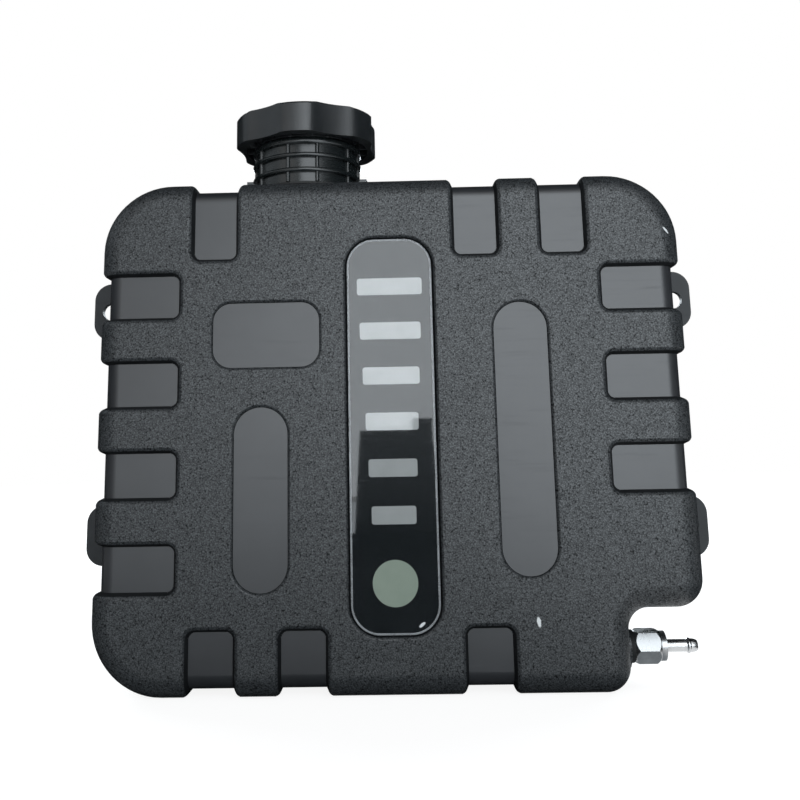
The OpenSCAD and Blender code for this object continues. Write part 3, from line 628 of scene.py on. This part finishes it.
def merged_copy(node, name, join_flats=True):
    form = bmesh.new()
    form.from_mesh(solids[node].data)
    bmesh.ops.remove_doubles(form, verts=form.verts, dist=SAME_PLACE)
    if join_flats:
        bmesh.ops.dissolve_limit(form, angle_limit=FLAT_TURN, verts=form.verts, edges=form.edges)
    for edge in form.edges:
        if len(edge.link_faces) == 2:
            edge.smooth = edge.calc_face_angle(0.0) < SHARP_TURN
    for face in form.faces:
        face.smooth = True
    mesh = bpy.data.meshes.new(name)
    return form, mesh


def place_piece(form, mesh, finishes, body, node, edge_width=0.0, edge_turn=SHARP_TURN):
    form.to_mesh(mesh)
    form.free()
    piece = bpy.data.objects.new(mesh.name, mesh)
    for finish in finishes:
        mesh.materials.append(finish)
    bpy.context.collection.objects.link(piece)
    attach(piece, body)
    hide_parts(node)
    if edge_width:
        rounding = piece.modifiers.new("rounded_edges", "BEVEL")
        rounding.width = edge_width
        rounding.segments = BEVEL_STEPS
        rounding.limit_method = "ANGLE"
        rounding.angle_limit = edge_turn
    weighted = piece.modifiers.new("even_shading", "WEIGHTED_NORMAL")
    weighted.keep_sharp = not edge_width
    return piece


form, mesh = merged_copy("tank_shell", "tank_moulding")
form.normal_update()
for face in form.faces:
    face.material_index = finish_of_face(face)
tank_finishes = (skin_finish, pad_finish, shaded_wall_finish, ear_finish)
place_piece(form, mesh, tank_finishes, "tank", "tank_shell")
counts = [0] * len(tank_finishes)
for polygon in mesh.polygons:
    counts[polygon.material_index] += 1
print("tank faces of skin, pad, wall and ear:", counts)

# %% [markdown]
# Neck and cap are a harder, satin black plastic. The neck shows soft highlights along its rings and ribs.
# The cap is a little duller, with a fine grain on its grip, because hands have to turn it. The upright
# creases of the grip are drawn inward a little, so that they look moulded and not cut.

# %% Neck and cap
HARD_CLOUDS = 45.0
GRAIN_STRENGTH = 0.5


def plastic(name, dark, pale, roughness, ior, grain_count, grain_depth):
    material, tree, shader = start_material(name)
    place = object_place(tree)
    marks = use_group(tree, marks_group, {"Place": place, "Clouds per metre": HARD_CLOUDS})
    grain = use_group(tree, grain_group, {"Place": place, "Pebbles per metre": grain_count})
    tree.links.new(blend_colours(tree, marks.outputs["Clouds"], dark, pale), shader.inputs["Base Color"])
    rough = spread(tree, marks.outputs["Streaks"], 0.0, 1.0, *roughness)
    tree.links.new(rough, shader.inputs["Roughness"])
    set_values(shader, IOR=ior)
    raise_bump(tree, shader, grain.outputs["Height"], grain_depth, GRAIN_STRENGTH)
    return material


def give_finish(material, *nodes):
    for node in nodes:
        solids[node].data.materials.clear()
        solids[node].data.materials.append(material)


neck_finish = plastic(
    "satin_neck",
    dark=(0.006, 0.008, 0.0085),
    pale=(0.01, 0.012, 0.0125),
    roughness=(0.26, 0.36),
    ior=1.5,
    grain_count=1600.0,
    grain_depth=0.02 * MM,
)
cap_finish = plastic(
    "satin_cap",
    dark=(0.009, 0.0105, 0.0115),
    pale=(0.014, 0.0155, 0.017),
    roughness=(0.34, 0.46),
    ior=1.5,
    grain_count=1400.0,
    grain_depth=0.03 * MM,
)

NECK_EDGE = 0.35 * MM
CAP_EDGE = 0.45 * MM
NO_EDGE = 0.0
FLAT_FACING = 0.99
UPRIGHT_SLACK = 0.05 * MM
SOFT_TURN = math.radians(48)
CREASE_REACH = 3.6 * MM
CREASE_DEPTH = 0.5 * MM
CAP_AXIS = Vector((-46.0, 0.0)) * MM
GRIP_INSIDE = 36.5 * MM


def soften_creases(form, edge_turn):
    form.normal_update()
    creases = []
    for edge in form.edges:
        first, second = (vert.co for vert in edge.verts)
        upright = (first - second).xy.length < UPRIGHT_SLACK
        if upright and SHARP_TURN < edge.calc_face_angle(0.0) < edge_turn:
            creases.append(first.xy)
    for vert in form.verts:
        inward = CAP_AXIS - vert.co.xy
        gap = min((vert.co.xy - crease).length for crease in creases)
        if inward.length > GRIP_INSIDE and gap < CREASE_REACH:
            vert.co.xy += inward.normalized() * CREASE_DEPTH * (1.0 - gap / CREASE_REACH) ** 2
    print("softened creases:", len(creases))


def round_corners(form, node, radius):
    low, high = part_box(node)
    middle = (low + high) / 2
    inner = (high - low) / 2 - Vector((radius, 0.0, radius))
    for vert in form.verts:
        beyond_x = vert.co.x - middle.x
        beyond_z = vert.co.z - middle.z
        past = Vector((max(abs(beyond_x) - inner.x, 0.0), max(abs(beyond_z) - inner.z, 0.0)))
        if past.length > radius:
            past *= radius / past.length
            vert.co.x = middle.x + math.copysign(inner.x + past.x, beyond_x)
            vert.co.z = middle.z + math.copysign(inner.z + past.y, beyond_z)


def rounded_piece(name, node, finish, body, edge_width, edge_turn=SHARP_TURN, corner=0.0):
    form, mesh = merged_copy(node, name, edge_width > 0.0)
    if corner:
        round_corners(form, node, corner)
    if edge_width:
        for edge in form.edges:
            edge.smooth = True
    else:
        form.normal_update()
        for face in form.faces:
            face.smooth = abs(face.normal.y) < FLAT_FACING
    if edge_turn > SHARP_TURN:
        soften_creases(form, edge_turn)
    return place_piece(form, mesh, (finish,), body, node, edge_width, edge_turn)


rounded_piece("neck_moulding", "filler_neck", neck_finish, "tank", NECK_EDGE)
rounded_piece("cap_moulding", "filler_cap", cap_finish, "cap", CAP_EDGE, SOFT_TURN)
give_finish(cap_finish, "splash_baffle")
print("finishes:", neck_finish.name, cap_finish.name)

# %% [markdown]
# Seals, washer and tape are matt rubber and foam. Rubber scatters light, so it is rough with a fine bloom.

# %% Rubber and tape
RUBBER_CLOUDS = 140.0
RUBBER_ROUGHNESS = (0.6, 0.78)
RUBBER_DEPTH = 0.03 * MM
RUBBER_GRAIN = 1500.0
FOAM_GRAIN = 900.0
WASHER_EDGE = 0.5 * MM


def rubber(name, dark, pale, grain_count):
    material, tree, shader = start_material(name)
    place = object_place(tree)
    marks = use_group(tree, marks_group, {"Place": place, "Clouds per metre": RUBBER_CLOUDS})
    grain = use_group(tree, grain_group, {"Place": place, "Pebbles per metre": grain_count})
    tree.links.new(blend_colours(tree, marks.outputs["Clouds"], dark, pale), shader.inputs["Base Color"])
    rough = spread(tree, marks.outputs["Clouds"], 0.0, 1.0, *RUBBER_ROUGHNESS)
    tree.links.new(rough, shader.inputs["Roughness"])
    set_values(shader, Specular_IOR_Level=0.3)
    raise_bump(tree, shader, grain.outputs["Height"], RUBBER_DEPTH, GRAIN_STRENGTH)
    return material


seal_finish = rubber("seal_rubber", (0.012, 0.012, 0.012), (0.024, 0.024, 0.024), RUBBER_GRAIN)
washer_finish = rubber("washer_rubber", (0.005, 0.0055, 0.0055), (0.011, 0.0115, 0.012), RUBBER_GRAIN)
tape_finish = rubber("foam_tape", (0.02, 0.02, 0.02), (0.04, 0.04, 0.04), FOAM_GRAIN)
give_finish(seal_finish, "neck_seal", "cap_gasket", "vent_valve", "outlet_inner_seal", "tail_seal")
rounded_piece("washer_ring", "outlet_washer", washer_finish, "tank", WASHER_EDGE)
give_finish(tape_finish, "gauge_tape")
print("rubber finishes: 3")

# %% [markdown]
# The level panel is polished black plastic. Real ones carry fine hairline scratches and finger marks, which
# only show where the reflection is bright. So they go into the roughness, and the colour hardly varies.
# Panel and marks come from the same function as the pads, with a clear coat on top.
# The corners of the level bars are a little rounder than the pockets that hold them.

# %% Level panel and its marks
CLEAR_COAT = {"Coat_Weight": 1.0, "Coat_Roughness": 0.02}

panel_finish = clouded(
    "polished_panel",
    dark=(0.0098, 0.0118, 0.0128),
    pale=(0.0122, 0.014, 0.0152),
    clouds_per_metre=35.0,
    roughness=(0.03, 0.07),
    IOR=1.42,
    Coat_IOR=1.33,
    **CLEAR_COAT,
)
rounded_piece("panel_plate", "gauge_panel", panel_finish, "tank", NO_EDGE)
bar_finish = clouded(
    "level_bar_grey",
    dark=(0.25, 0.26, 0.256),
    pale=(0.274, 0.284, 0.28),
    clouds_per_metre=90.0,
    roughness=(0.05, 0.09),
    IOR=1.62,
    Coat_IOR=1.38,
    **CLEAR_COAT,
)
dot_finish = clouded(
    "level_spot_grey",
    dark=(0.206, 0.246, 0.202),
    pale=(0.232, 0.272, 0.224),
    clouds_per_metre=90.0,
    roughness=(0.05, 0.09),
    IOR=1.45,
    Coat_IOR=1.38,
    **CLEAR_COAT,
)
BAR_COUNT = 6
BAR_CORNER = 1.4 * MM
for i in range(1, BAR_COUNT + 1):
    bar = f"level_bar_{i}"
    rounded_piece(f"bar_mark_{i}", bar, bar_finish, "tank", NO_EDGE, corner=BAR_CORNER)
rounded_piece("spot_mark", "level_dot", dot_finish, "tank", NO_EDGE)
print("level marks:", BAR_COUNT + 1)

# %% [markdown]
# A clear film lies over the panel. It can't be seen except at its edge, where the light it catches is painted
# as a thin pale line. Glass with refraction would be slow for a sheet this thin. So the film is see-through,
# and a mask that follows its rounded outline makes a narrow strip at the edge more opaque and pale: a painted
# highlight. Its rear face is drawn forward by a hair, because two faces in one plane would fight over which
# of them the light meets first. At the lower right the film has come off its panel, and the glint on that
# lifted edge is painted as one small white spot.

# %% Clear film
film_low, film_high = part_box("gauge_film")
FILM_CORNER = 14.35 * MM
STRIP = 0.75 * MM
STRIP_START = STRIP * 1.3
STRIP_ALPHA = (0.3, 0.75)
FILM_CLEAR = (0.9, 0.92, 0.94)
# Pale colour of the film's edge: a painted highlight.
FILM_EDGE_HIGHLIGHT = (0.3, 0.31, 0.32)
FILM_CLOUDS = 120.0
FILM_ROUGHNESS = 0.12
FILM_GAP = 0.03 * MM
# Place of the painted white glint where the film has lifted.
LIFTED_GLINT = {"centre": (12.7, -38.0, 34.6), "lean": 52.0, "reach": (0.85, 6.0, 2.1)}
film_middle = (film_low + film_high) / 2
film_half = (film_high - film_low) / 2

film_finish, tree, shader = start_material("clear_film")
place = object_place(tree)
centred = add_node(tree, "VectorMath", {0: place, 1: film_middle}, operation="SUBTRACT").outputs[0]
apart = add_node(tree, "SeparateXYZ", {0: centred}).outputs


def beyond(socket, half):
    return math_node(tree, "SUBTRACT", math_node(tree, "ABSOLUTE", socket), half - FILM_CORNER)


side = beyond(apart["X"], film_half.x)
end = beyond(apart["Z"], film_half.z)
side_out = math_node(tree, "MAXIMUM", side, 0.0)
end_out = math_node(tree, "MAXIMUM", end, 0.0)
side_square = math_node(tree, "POWER", side_out, 2.0)
end_square = math_node(tree, "POWER", end_out, 2.0)
square = math_node(tree, "ADD", side_square, end_square)
inner = math_node(tree, "MINIMUM", math_node(tree, "MAXIMUM", side, end), 0.0)
outline = math_node(tree, "ADD", math_node(tree, "SQRT", square), inner)
# The pale edge strip is a painted highlight, the light caught by the film's edge.
highlight_strip = spread(tree, outline, FILM_CORNER - STRIP_START, FILM_CORNER - STRIP)
marks = use_group(tree, marks_group, {"Place": place, "Clouds per metre": FILM_CLOUDS})
uneven = spread(tree, marks.outputs["Clouds"], 0.0, 1.0, *STRIP_ALPHA)
edge_alpha = math_node(tree, "MULTIPLY", highlight_strip, uneven)
# The lifted spot is a painted glint, opaque and white.
lifted_glint = chip_and_glint_mask(tree, place, marks.outputs["Clouds"], LIFTED_GLINT)
tree.links.new(math_node(tree, "MAXIMUM", edge_alpha, lifted_glint), shader.inputs["Alpha"])
base = blend_colours(tree, highlight_strip, FILM_CLEAR, FILM_EDGE_HIGHLIGHT)
tree.links.new(blend_colours(tree, lifted_glint, base, NICK_AND_GLINT_PALE), shader.inputs["Base Color"])
set_values(shader, Roughness=FILM_ROUGHNESS)
film_sheet = rounded_piece("film_sheet", "gauge_film", film_finish, "tank", NO_EDGE)
for vert in film_sheet.data.vertices:
    if vert.co.y > film_middle.y:
        vert.co.y -= FILM_GAP
print("film is", round(film_half.x * 2 / MM, 2), "mm wide")

# %% [markdown]
# The outlet's nut and tail are turned and nickel plated, its stem is brass. Plating is bright, but it keeps
# the fine rings of the lathe and small dull spots. A metal's base colour is the tint of its reflection, so
# small changes of tint and roughness, and a fine bump, make its look.

# %% Metal
METAL_CLOUDS = 260.0
RINGS_SCALE = 700.0
RING_WAVER = 0.6
RING_DEPTH = 0.01 * MM
RING_STRENGTH = 0.25
NUT_EDGE = 0.25 * MM
TAIL_EDGE = 0.2 * MM


def metal(name, dark, pale, rough_low, rough_high):
    material, tree, shader = start_material(name)
    place = object_place(tree)
    marks = use_group(tree, marks_group, {"Place": place, "Clouds per metre": METAL_CLOUDS})
    ring_values = {"Vector": place, "Scale": RINGS_SCALE, "Distortion": RING_WAVER}
    rings = add_node(tree, "TexWave", ring_values, bands_direction="X").outputs["Fac"]
    tree.links.new(blend_colours(tree, marks.outputs["Clouds"], dark, pale), shader.inputs["Base Color"])
    rough = spread(tree, marks.outputs["Clouds"], 0.0, 1.0, rough_low, rough_high)
    tree.links.new(rough, shader.inputs["Roughness"])
    set_values(shader, Metallic=1.0)
    raise_bump(tree, shader, rings, RING_DEPTH, RING_STRENGTH)
    return material


nickel_finish = metal("nickel_plate", (0.5, 0.505, 0.51), (0.62, 0.625, 0.63), 0.24, 0.36)
brass_finish = metal("turned_brass", (0.5, 0.34, 0.13), (0.62, 0.45, 0.2), 0.22, 0.36)
nut_finish = metal("dulled_plate", (0.3, 0.305, 0.31), (0.42, 0.425, 0.43), 0.24, 0.38)
rounded_piece("outlet_nut", "union_nut", nut_finish, "tank", NUT_EDGE)
rounded_piece("outlet_tail", "hose_tail", nickel_finish, "tank", TAIL_EDGE)
give_finish(brass_finish, "outlet_stem")
print("metal finishes: 3")
